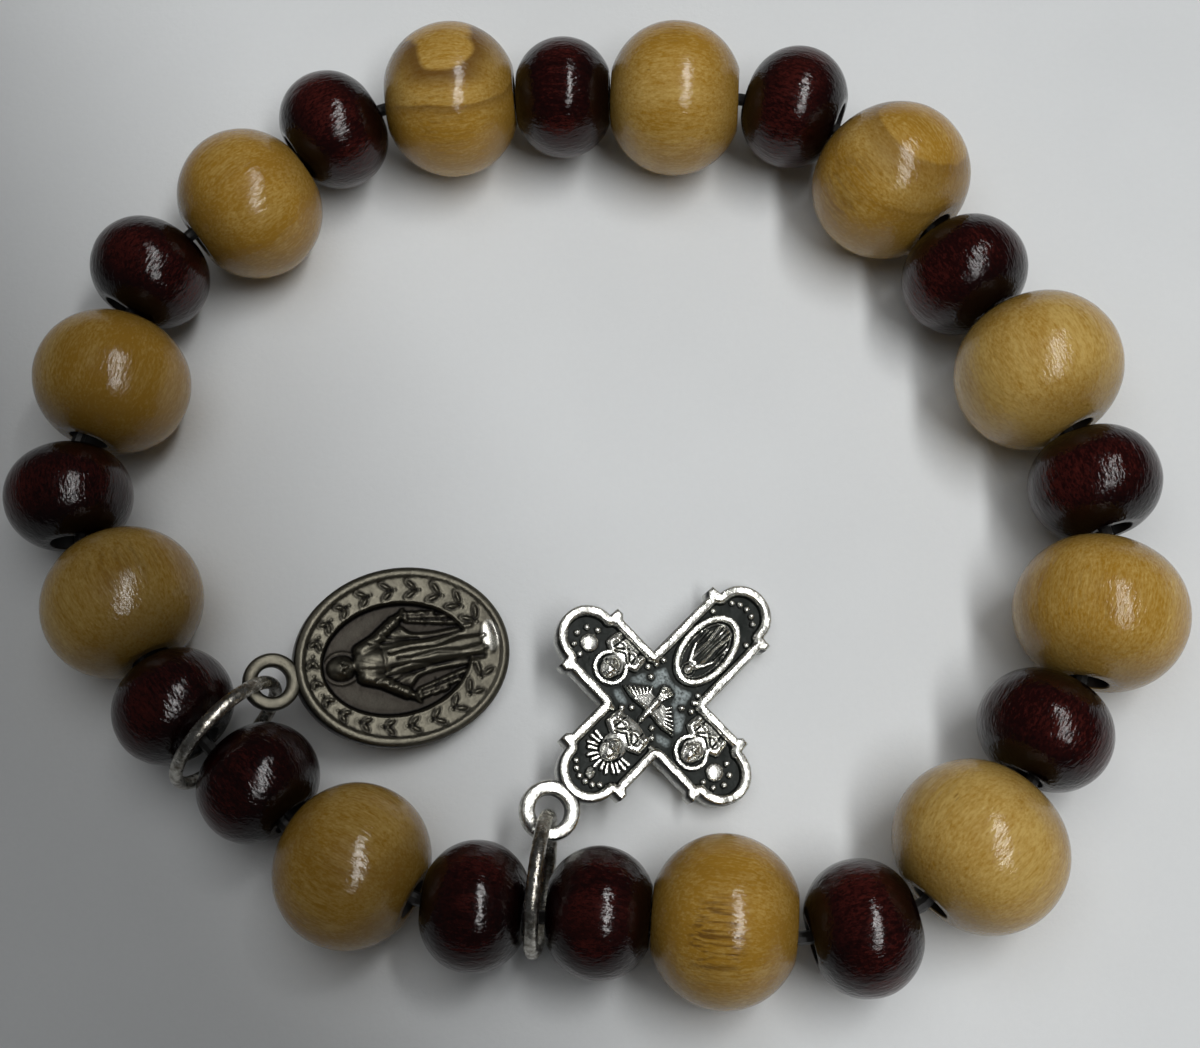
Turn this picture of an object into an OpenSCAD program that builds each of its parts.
// One-decade rosary bracelet lying on a surface: drilled wooden beads on an elastic cord,
// with an oval medal and a four-armed medal on two jump rings.
// Millimetres. The surface is z = 0, and the origin is the middle of the bracelet's outline.

/* [Natural beads] */
// Diameter of a natural wood bead
natural_d = 10; // [9.2:0.1:11]
// Length of a natural bead along the cord
natural_len = 8.3; // [7.4:0.05:9]
// Diameter of the flat face at each end of a natural bead
natural_flat_d = 3.8; // [3:0.1:4.4]

/* [Red beads] */
// Diameter of a red bead
red_d = 7.8; // [7:0.1:8.8]
// Length of a red bead along the cord
red_len = 6; // [5.4:0.1:7]
// Diameter of the flat face at each end of a red bead
red_flat_d = 3.4; // [3:0.1:3.8]

/* [Stringing] */
// Diameter of the bore through each bead
bore_d = 2.2; // [1.6:0.1:2.4]
// Chamfer at each mouth of a bore
bore_chamfer = 0.15; // [0.05:0.05:0.25]
// Diameter of the elastic cord
cord_d = 0.8; // [0.5:0.05:0.9]
// Gap between the near edges of neighbouring beads
bead_gap = 0.06; // [0.04:0.02:0.4]

/* [Jump rings] */
// Outer diameter of a jump ring
ring_d = 8.6; // [8:0.1:9]
// Diameter of a jump ring's wire
ring_wire_d = 0.85; // [0.6:0.05:0.95]
// Room beside the wire, between the two beads that it passes
ring_room = 0.3; // [0.25:0.05:0.6]
// How far the cross medal's ring has its centre inside the string
cross_ring_in = 1.9; // [1.5:0.05:2.2]
// How far the oval medal's ring has its centre inside the string
oval_ring_in = 1.3; // [1.1:0.05:1.7]
// Height of the cross ring's lowest point
cross_ring_lift = 0.3; // [0:0.1:1]
// Height of the oval ring's lowest point
oval_ring_lift = 0.6; // [0:0.1:1.4]
// Turn of the cross ring from square to the string
cross_ring_turn = 0; // [-4:1:4]
// Turn of the oval ring from square to the string
oval_ring_turn = 4; // [-4:1:4]

/* [Medal eyes] */
// Outer diameter of the cross medal's eye
cross_eye_d = 3.55; // [3.3:0.05:3.8]
// Hole in the cross medal's eye
cross_eye_hole = 2.1; // [1.9:0.05:2.3]
// Outer diameter of the oval medal's eye
oval_eye_d = 3.4; // [3.2:0.05:3.6]
// Hole in the oval medal's eye
oval_eye_hole = 2.05; // [2:0.05:2.2]
// Thickness of both eyes
eye_t = 1.1; // [0.9:0.05:1.2]
// How deep an eye is cast into its medal's edge
eye_bite = 0.35; // [0.2:0.05:0.5]

/* [Cross medal] */
// Width of an arm
arm_w = 4.5; // [4:0.1:5]
// Distance from the centre to the end of a short arm
arm_end = 7.5; // [7:0.1:8]
// Distance from the centre to the end of the long arm
long_arm_end = 9.85; // [9.4:0.1:10.4]
// Radius of the round lobe at the end of an arm
lobe_r = 1.88; // [1.7:0.02:2]
// How far the small shoulder points stand out from an arm
shoulder_out = 0.28; // [0.1:0.02:0.4]
// Length of a shoulder point along its arm
shoulder_len = 0.6; // [0.4:0.1:0.8]
// Thickness of the cross medal at its rim
cross_t = 1.5; // [1.2:0.05:1.8]
// Width of the cross medal's rim
cross_rim_w = 0.5; // [0.35:0.05:0.6]
// Depth of the field inside the cross medal's rim
cross_recess = 0.5; // [0.3:0.05:0.6]
// Angle by which the cross medal slopes down from its eye
cross_tilt = 11; // [8:1:14]
// Angle by which the cross medal leans sideways
cross_roll = 14; // [10:1:16]
// Turn of the cross medal from the way that its ring points
cross_swing = -36; // [-40:1:-30]

/* [Oval medal] */
// Length of the oval medal without its eye
oval_len = 13.2; // [12:0.1:14]
// Width of the oval medal
oval_w = 10.75; // [10:0.05:11.5]
// Thickness of the oval medal at its rim
oval_t = 1.45; // [1.2:0.05:1.7]
// Width of the oval medal's rim
oval_rim_w = 0.5; // [0.35:0.05:0.6]
// Width of the groove inside the oval medal's rim
groove_w = 0.14; // [0.1:0.02:0.2]
// Width of the ornament band
band_w = 1.35; // [1.1:0.05:1.5]
// Depth of the ornament band below the rim
band_drop = 0.15; // [0.1:0.05:0.25]
// Depth of the field below the rim
oval_recess = 0.55; // [0.4:0.05:0.65]
// Angle by which the oval medal slopes down from its eye
oval_tilt = 18; // [14:1:20]
// Angle by which the oval medal leans sideways
oval_roll = 12; // [8:1:14]
// Turn of the oval medal from the way that its ring points
oval_swing = -32; // [-36:1:-26]

/* [Hidden] */
// The route of the string, clockwise from the joint after the first bead. Its points are
// chosen by hand, and it is scaled to the length of the beads and gaps on it.
route = [
    [10.7, 25.8], [16.8, 23.3], [22.4, 15.8], [26.2, 9.4], [30.1, 1.2], [31.3, -5.6], [28.4, -14.2],
    [24.4, -20.4], [18, -26.2], [12, -27], [4, -26.3], [-8.9, -24.8], [-16, -21], [-25.1, -11.6],
    [-29.5, -4.4], [-30.8, 2.2], [-28.4, 10.8], [-25.4, 16.2], [-18.7, 21.7], [-12.8, 25.7], [-4.1, 26.3]
];

// The beads in the same order: kind, size as a share of its kind, slack after it, and how far
// it sits outwards of the cord in its bore
beads = [
    ["natural", 0.99, 0, 0], ["red", 1.01, 0, 0.6],
    ["natural", 1.03, 0.2, 0.2], ["red", 1.04, 0.1, 0],
    ["natural", 1.04, 0, 0.4], ["red", 1.03, 0, 0.4],
    ["natural", 1.02, 0, 0.4], ["red", 1.02, 0, -0.6],
    ["natural", 1.03, 0, 0.2], ["red", 1, 0, 0.3],
    ["natural", 0.98, 0, -0.6], ["red", 0.97, 0, -0.5], ["red", 0.96, 0, -0.1],
    ["natural", 0.97, 0, 0.1], ["red", 0.96, 0, -0.6], ["red", 0.95, 0, 0.1],
    ["natural", 0.98, 0, -0.6], ["red", 1, 0, 0.6],
    ["natural", 0.98, 0, -0.6], ["red", 1, 0, 0.6],
    ["natural", 0.98, 0, -0.6], ["red", 1, 0, 0.5],
    ["natural", 1, 0, 0.3], ["red", 1, 0, 0]
];
// The beads that come just before the cross medal's ring and the oval medal's ring
cross_ring_after = 11;
oval_ring_after = 14;

bead_count = len(beads);
cord_z = max(natural_d, red_d) / 2;
$fn = 96;

// Numbering: how many beads of its kind come up to this one
function kind(i) = beads[i][0];
function number_of_kind(i) = len([for (j = [0 : i]) if (kind(j) == kind(i)) j]);
function two_digits(n) = n < 10 ? str("0", n) : str(n);
function bead_name(i) = str(kind(i), "_bead_", two_digits(number_of_kind(i)));

// Sizes of one bead
function is_natural(i) = kind(i) == "natural";
function size_share(i) = beads[i][1];
function slack(i) = beads[i][2];
// A bead goes no further off the cord than its bore lets it
function sideways(i) = let (room = max(0, (bore_d - cord_d) / 2 - 0.05))
    min(room, max(-room, beads[i][3]));
function bead_r(i) = size_share(i) * (is_natural(i) ? natural_d : red_d) / 2;
function bead_len(i) = size_share(i) * (is_natural(i) ? natural_len : red_len);
function flat_r(i) = (is_natural(i) ? natural_flat_d : red_flat_d) / 2;
// Radius of the arc from the edge of one flat over the widest part to the other
function crown_r(r, l, flat) = (l * l / 4 + (r - flat) * (r - flat)) / (2 * (r - flat));

// The route as a closed smooth curve through its points
route_steps = 10;
function around(list, i) = list[(i + len(list)) % len(list)];
function curve(p, t) =
    0.5 * (2 * p[1] + (p[2] - p[0]) * t + (2 * p[0] - 5 * p[1] + 4 * p[2] - p[3]) * t * t
    + (3 * p[1] - p[0] - 3 * p[2] + p[3]) * t * t * t);
samples = [
    for (i = [0 : len(route) - 1], k = [0 : route_steps - 1])
        curve([for (j = [-1 : 2]) around(route, i + j)], k / route_steps)
];
sample_count = len(samples);
run = [
    for (i = 0, sum = 0; i <= sample_count;
        sum = sum + norm(around(samples, i + 1) - around(samples, i)), i = i + 1) sum
];
route_len = run[sample_count];
route_x = [for (i = [0 : sample_count]) [run[i], around(samples, i).x]];
route_y = [for (i = [0 : sample_count]) [run[i], around(samples, i).y]];

// Half a bead's extent in a direction at an angle to its axis
function half_extent(i, angle) = let (
        r = bead_r(i),
        l = bead_len(i),
        arc = crown_r(r, l, flat_r(i)),
        on_crown = arc * abs(cos(angle)) < l / 2
    )
    on_crown ? (r - arc) * abs(sin(angle)) + arc : l / 2 * abs(cos(angle)) + flat_r(i) * abs(sin(angle));

// The joints: joint i lies in the gap after bead i. Where the string turns, the plane through
// the joint, half way round the turn, clears the beads on both sides.
function next(i) = (i + 1) % bead_count;
function before(i) = (i + bead_count - 1) % bead_count;
function total(list, i = 0) = i < len(list) ? list[i] + total(list, i + 1) : 0;
function heading(joints, i) = let (d = joints[i] - joints[before(i)]) atan2(d.y, d.x);
function signed(a) = a > 180 ? a - 360 : a < -180 ? a + 360 : a;
function bend(joints, i) = signed(heading(joints, next(i)) - heading(joints, i));
function has_ring(i) = i == cross_ring_after || i == oval_ring_after;
function room(i) = ((has_ring(i) ? ring_wire_d + ring_room : bead_gap) + slack(i)) / 2;
// Distance along a bead's axis from its middle to a joint
function to_joint(joints, i, joint) = let (turn = -bend(joints, joint) / 2)
    (half_extent(i, turn) - sideways(i) * sin(turn) + room(joint)) / cos(turn);
function to_last(joints, i) = to_joint(joints, i, before(i));
function to_next(joints, i) = to_joint(joints, i, i);

// The lengths of route between the joints and the turns there depend on each other, so they
// are worked out a few times over
passes = 6;
function place(spans) = let (
        k = total(spans) / route_len,
        stations = [for (i = 0, s = 0; i < bead_count; s = s + spans[next(i)], i = i + 1) s / k]
    )
    [for (s = stations) k * [lookup(s, route_x), lookup(s, route_y)]];
function spans_at(joints, spans) = [
    for (i = [0 : bead_count - 1])
        to_last(joints, i) + to_next(joints, i) + spans[i] - norm(joints[i] - joints[before(i)])
];
function settled(spans, n) = n == 0 ? place(spans) : settled(spans_at(place(spans), spans), n - 1);
route_joints = settled([for (i = [0 : bead_count - 1]) bead_len(i)], passes);

// The outline's middle is moved to the origin
function reach(i, direction) = half_extent(i, direction - heading(route_joints, i));
function route_centre(i) = let (
        start = route_joints[before(i)],
        along = (route_joints[i] - start) / norm(route_joints[i] - start)
    )
    start + to_last(route_joints, i) * along + sideways(i) * [-along.y, along.x];
all_beads = [0 : bead_count - 1];
middle = [
    max([for (i = all_beads) route_centre(i).x + reach(i, 0)])
    + min([for (i = all_beads) route_centre(i).x - reach(i, 0)]),
    max([for (i = all_beads) route_centre(i).y + reach(i, 90)])
    + min([for (i = all_beads) route_centre(i).y - reach(i, 90)])
] / 2;
joints = [for (p = route_joints) p - middle];
function bead_centre(i) = route_centre(i) - middle;

// A jump ring and the medal on it share one frame: x points inwards over the joint
ring_r = (ring_d - ring_wire_d) / 2;
function inwards(i) = heading(joints, i) + bend(joints, i) / 2 - 90;
cross_way = inwards(cross_ring_after) + cross_ring_turn;
oval_way = inwards(oval_ring_after) + oval_ring_turn;
cross_ring_z = cross_ring_lift + ring_d / 2;
oval_ring_z = oval_ring_lift + ring_d / 2;

// A medal rests on the surface with its low side. Its own frame has x away from the eye,
// z out of its face and the origin at mid thickness.
lobe_at = arm_end - lobe_r;
long_lobe_at = long_arm_end - lobe_r;
cross_eye_at = arm_end + cross_eye_d / 2 - eye_bite;
oval_eye_at = oval_len / 2 + oval_eye_d / 2 - eye_bite;
cross_down = [sin(cross_tilt), -cos(cross_tilt) * sin(cross_roll), cos(cross_tilt) * cos(cross_roll)];
oval_down = [sin(oval_tilt), -cos(oval_tilt) * sin(oval_roll), cos(oval_tilt) * cos(oval_roll)];
shoulder_w = arm_w / 2 + shoulder_out;
cross_z = cross_t / 2 * cross_down.z + max(
    max(long_lobe_at * cross_down.x, lobe_at * abs(cross_down.y)) + lobe_r * norm([cross_down.x, cross_down.y]),
    long_lobe_at * cross_down.x + shoulder_w * abs(cross_down.y),
    shoulder_w * cross_down.x + lobe_at * abs(cross_down.y)
);
oval_z = norm([oval_len / 2 * oval_down.x, oval_w / 2 * oval_down.y]) + oval_t / 2 * oval_down.z;
cross_eye_z = cross_z + cross_eye_at * cross_down.x;
oval_eye_z = oval_z + oval_eye_at * oval_down.x;
// How far the middle of each eye's hole lies past the ring's wire
cross_eye_past = 0.3;
oval_eye_past = 0.05;
function wire_out(height) = sqrt(max(0, ring_r * ring_r - height * height));
cross_eye_out = cross_ring_in + wire_out(cross_eye_z - cross_ring_z) + cross_eye_past;
oval_eye_out = oval_ring_in + wire_out(oval_eye_z - oval_ring_z) + oval_eye_past;

// Beads

module bead_profile(r, l, flat) {
    arc = crown_r(r, l, flat);
    bore_r = bore_d / 2;
    mouth_r = bore_r + bore_chamfer;
    intersection() {
        translate([r - arc, 0]) circle(r = arc);
        polygon([
            [bore_r, bore_chamfer - l / 2], [mouth_r, -l / 2], [r + 1, -l / 2],
            [r + 1, l / 2], [mouth_r, l / 2], [bore_r, l / 2 - bore_chamfer]
        ]);
    }
}

module bead(i) {
    z = is_natural(i) ? bead_r(i) + cord_z - natural_d / 2 : cord_z;
    color(is_natural(i) ? "burlywood" : "maroon")
        translate([bead_centre(i).x, bead_centre(i).y, z])
            rotate([0, 0, heading(joints, i)])
                rotate([0, 90, 0])
                    rotate_extrude()
                        bead_profile(bead_r(i), bead_len(i), flat_r(i));
}

// Cord: straight through each bore, with two rings of points at each joint to turn it

cord_sides = 8;
cord_turn_in = 0.25;
cord_rings = [
    for (i = all_beads, side = [-1, 1]) let (
            along = side < 0 ? heading(joints, i) : heading(joints, next(i)),
            p = joints[i] + side * cord_turn_in * [cos(along), sin(along)],
            across = heading(joints, i) + bend(joints, i) * (side < 0 ? 0.25 : 0.75) + 90
        )
        [for (k = [0 : cord_sides - 1]) let (a = 360 * k / cord_sides)
            [p.x + cord_d / 2 * cos(a) * cos(across), p.y + cord_d / 2 * cos(a) * sin(across),
                cord_z + cord_d / 2 * sin(a)]]
];

module elastic_cord() {
    rings = len(cord_rings);
    points = [for (ring = cord_rings) each ring];
    function at(ring, k) = (ring % rings) * cord_sides + k % cord_sides;
    faces = [
        for (r = [0 : rings - 1], k = [0 : cord_sides - 1])
            each [[at(r, k), at(r + 1, k), at(r + 1, k + 1)], [at(r, k), at(r + 1, k + 1), at(r, k + 1)]]
    ];
    color("dimgray") polyhedron(points = points, faces = faces);
}

// Jump rings

module jump_ring(joint, way, inside, height) {
    translate([joints[joint].x, joints[joint].y, height])
        rotate([0, 0, way])
            translate([inside, 0, 0])
                rotate([90, 0, 0])
                    rotate_extrude()
                        translate([ring_r, 0]) circle(d = ring_wire_d, $fn = 32);
}

module cross_ring() {
    color("darkgray") jump_ring(cross_ring_after, cross_way, cross_ring_in, cross_ring_z);
}

module oval_ring() {
    color("darkgray") jump_ring(oval_ring_after, oval_way, oval_ring_in, oval_ring_z);
}

// Puts a medal's own frame, with the eye's middle as its origin, where its ring holds it
module hang(joint, way, out, height, swing, tilt, roll) {
    translate([joints[joint].x, joints[joint].y, height])
        rotate([0, 0, way])
            translate([out, 0, 0])
                rotate([0, 0, swing])
                    rotate([0, tilt, 0])
                        rotate([roll, 0, 0])
                            children();
}

// The eye is a thick ring with a rounded outside
module eye(d, hole) {
    wall = (d - hole) / 2;
    rotate_extrude()
        intersection() {
            translate([hole / 2, -eye_t / 2]) square([wall, eye_t]);
            translate([hole / 2 + wall / 2, 0]) circle(d = norm([wall, eye_t]) * 0.93);
        }
}

// Raised details stand on a face at z = 0. Each goes down into it by this much.
sunk = 0.2;

module dot(r) {
    translate([0, 0, -r * 0.35]) sphere(r = r, $fn = 24);
}

// Part of a cone lying along x, raised above the face by its height at the thick end
module lying_cone(length, r1, r2, raised) {
    r = max(r1, r2);
    intersection() {
        translate([0, 0, raised - r])
            rotate([0, 90, 0])
                cylinder(h = length, r1 = r1, r2 = r2, $fn = 40);
        translate([-1, -r - 1, -sunk]) cube([length + 2, 2 * r + 2, sunk + raised + 1]);
    }
}

// A small robed figure with its head towards -x
module little_figure(s) {
    translate([-1.05 * s, 0, 0.06 * s]) sphere(r = 0.34 * s, $fn = 32);
    translate([-0.8 * s, 0, 0]) lying_cone(1.9 * s, 0.4 * s, 0.66 * s, 0.3 * s);
    for (side = [-1, 1])
        translate([-0.5 * s, side * 0.25 * s, 0])
            rotate([0, 0, side * 42])
                lying_cone(0.8 * s, 0.22 * s, 0.16 * s, 0.26 * s);
}

// Oval medal

oval_points = 72;
module oval(inset) {
    polygon([
        for (k = [0 : oval_points - 1]) let (a = 360 * k / oval_points)
            [(oval_len / 2 - inset) * cos(a), (oval_w / 2 - inset) * sin(a)]
    ]);
}

band_in = oval_rim_w + groove_w;
field_in = band_in + band_w;
module oval_plate() {
    difference() {
        translate([0, 0, -oval_t / 2]) linear_extrude(oval_t) oval(0);
        translate([0, 0, oval_t / 2 - band_drop]) linear_extrude(oval_t) oval(oval_rim_w);
        translate([0, 0, oval_t / 2 - oval_recess]) linear_extrude(oval_t) oval(field_in);
        translate([0, 0, oval_t / 2 - 2 * band_drop])
            linear_extrude(oval_t)
                difference() {
                    oval(oval_rim_w);
                    oval(band_in);
                }
    }
}

// Two rows of small leaves run round the band
leaf_pitch = 1.25;
leaf_len = 0.75;
leaf_w = 0.3;
band_raised = 0.1;
module band_ornament() {
    half_l = oval_len / 2 - band_in - band_w / 2;
    half_w = oval_w / 2 - band_in - band_w / 2;
    count = round(PI * (half_l + half_w) / leaf_pitch);
    for (k = [0 : count - 1], row = [-1, 1]) {
        a = 360 * (k + 0.5) / count;
        l = half_l + row * band_w * 0.23;
        w = half_w + row * band_w * 0.23;
        along = atan2(w * cos(a), -l * sin(a));
        translate([l * cos(a), w * sin(a), -sunk])
            rotate([0, 0, along - row * 28])
                linear_extrude(sunk + band_raised)
                    polygon([[-leaf_len / 2, 0], [0, leaf_w / 2], [leaf_len / 2, 0], [0, -leaf_w / 2]]);
    }
}

// The veiled figure. Places are shares of the field's half length and half width.
module oval_figure() {
    field_l = oval_len / 2 - field_in;
    field_w = oval_w / 2 - field_in;
    head_x = -0.8 * field_l;
    hand = [0.14 * field_l, 0.72 * field_w];
    shoulder = [-0.5 * field_l, 0.2 * field_w];
    hem_x = 0.9 * field_l;
    reach_out = hand - shoulder;
    // Veil and head
    translate([head_x, 0, -sunk]) cylinder(h = sunk + 0.2, r1 = 0.84, r2 = 0.78, $fn = 48);
    translate([head_x, 0, 0.1]) sphere(r = 0.52, $fn = 48);
    // Robe
    translate([head_x + 0.5, 0, 0]) lying_cone(hem_x - head_x - 0.5, 0.7, 1.05, 0.5);
    for (side = [-1, 1]) {
        // Arm and hand
        translate([shoulder.x, side * shoulder.y, 0])
            rotate([0, 0, side * atan2(reach_out.y, reach_out.x)])
                lying_cone(norm(reach_out), 0.5, 0.26, 0.42);
        translate([hand.x, side * hand.y, 0]) sphere(r = 0.36, $fn = 32);
        // The mantle hangs from the arm
        translate([0, 0, -sunk])
            linear_extrude(sunk + 0.26)
                polygon([
                    [shoulder.x, 0], [hand.x - 0.25, side * (hand.y - 0.3)],
                    [hand.x + 0.8, side * (hand.y - 0.95)], [hem_x - 0.35, side * 1.25], [hem_x - 0.35, 0]
                ]);
        // Rays run down from the hand
        for (k = [0 : 1])
            translate([hand.x + 0.1, side * (hand.y + 0.08), -sunk])
                rotate([0, 0, -side * (3 + 14 * k)])
                    linear_extrude(sunk + 0.14)
                        polygon([[0, -0.06], [2 - 0.3 * k, -0.13], [2 - 0.3 * k, 0.13], [0, 0.06]]);
    }
    // A globe below the hem
    translate([hem_x, 0, -0.3]) sphere(r = 0.85, $fn = 48);
}

module oval_medal() {
    color("silver")
        hang(oval_ring_after, oval_way, oval_eye_out, oval_eye_z, oval_swing, oval_tilt, oval_roll) {
            eye(oval_eye_d, oval_eye_hole);
            translate([oval_eye_at, 0, 0]) {
                oval_plate();
                translate([0, 0, oval_t / 2 - band_drop]) band_ornament();
                translate([0, 0, oval_t / 2 - oval_recess]) oval_figure();
            }
        }
}

// Cross medal

// One arm along x, narrowed all round by the inset
module arm(end, inset) {
    shoulder_at = end - lobe_r - shoulder_len / 2;
    translate([0, inset - arm_w / 2]) square([end - lobe_r - inset, arm_w - 2 * inset]);
    translate([shoulder_at - shoulder_len / 2 + inset, inset - arm_w / 2 - shoulder_out])
        square([shoulder_len, arm_w + 2 * shoulder_out - 2 * inset]);
    translate([end - lobe_r, 0]) circle(r = lobe_r - inset, $fn = 64);
}

module cross_outline(inset) {
    arm(long_arm_end, inset);
    for (a = [90, 180, 270]) rotate([0, 0, a]) arm(arm_end, inset);
}

module cross_plate() {
    translate([0, 0, -cross_t / 2])
        difference() {
            linear_extrude(cross_t) cross_outline(0);
            translate([0, 0, cross_t - cross_recess]) linear_extrude(cross_t) cross_outline(cross_rim_w);
        }
}

// A framed oval on the long arm, with a little figure in it
frame_l = 5.4;
frame_w = 3.2;
frame_rim = 0.42;
module frame_oval(inset) {
    polygon([
        for (k = [0 : 35]) [(frame_l / 2 - inset) * cos(10 * k), (frame_w / 2 - inset) * sin(10 * k)]
    ]);
}

module framed_figure() {
    translate([long_lobe_at - frame_l / 2 - 0.3, 0, 0]) {
        difference() {
            translate([0, 0, -sunk]) linear_extrude(sunk + 0.36) frame_oval(0);
            linear_extrude(1) frame_oval(frame_rim);
        }
        translate([-0.3, 0, 0]) little_figure(1.15);
    }
}

// A domed medallion with a little figure, one on each short arm
medallion_at = 3.65;
medallion_r = 1.4;
medallion_rise = 0.22;
module medallion() {
    translate([0, 0, -sunk])
        cylinder(h = sunk + medallion_rise, r1 = medallion_r, r2 = medallion_r - 0.2, $fn = 48);
    translate([-0.05, 0, medallion_rise]) little_figure(0.72);
}

// A plain boss in a lobe, with dots round its outer side
module lobe_boss() {
    translate([0, 0, -sunk]) cylinder(h = sunk + 0.22, r1 = 0.6, r2 = 0.42, $fn = 40);
    for (a = [-90 : 45 : 90])
        translate([cos(a), sin(a), 0]) dot(0.15);
}

// A bird with spread wings at the centre
module bird() {
    translate([-0.85, 0, 0]) lying_cone(1.5, 0.2, 0.34, 0.32);
    translate([-0.9, 0, 0.08]) sphere(r = 0.25, $fn = 32);
    for (side = [-1, 1])
        translate([0, 0, -sunk])
            linear_extrude(sunk + 0.22)
                polygon([[-0.55, 0], [-0.75, side * 1.3], [0.05, side * 1.2], [0.35, side * 0.5], [0.3, 0]]);
    translate([0, 0, -sunk])
        linear_extrude(sunk + 0.18)
            polygon([[0.4, -0.1], [1.2, -0.4], [1.3, 0], [1.2, 0.4], [0.4, 0.1]]);
}

module cross_relief() {
    short_arms = [90, 180, 270];
    bird();
    framed_figure();
    for (a = short_arms)
        rotate([0, 0, a])
            translate([medallion_at, 0, 0])
                rotate([0, 0, -a])
                    medallion();
    for (a = [90, 270])
        rotate([0, 0, a])
            translate([lobe_at, 0, 0])
                lobe_boss();
    for (a = [-60 : 30 : 60])
        translate([long_lobe_at + 1.03 * cos(a), 1.03 * sin(a), 0])
            dot(0.15);
    // Dots run out from the centre between the arms
    for (a = [45 : 90 : 315], r = [1.55, 2, 2.45])
        rotate([0, 0, a])
            translate([r, 0, 0])
                dot(0.15);
}

module cross_medal() {
    color("silver")
        hang(cross_ring_after, cross_way, cross_eye_out, cross_eye_z, cross_swing, cross_tilt, cross_roll) {
            eye(cross_eye_d, cross_eye_hole);
            translate([cross_eye_at, 0, 0]) {
                cross_plate();
                translate([0, 0, cross_t / 2 - cross_recess]) cross_relief();
            }
        }
}

for (i = all_beads)
    bead(i);
elastic_cord();
cross_ring();
oval_ring();
cross_medal();
oval_medal();
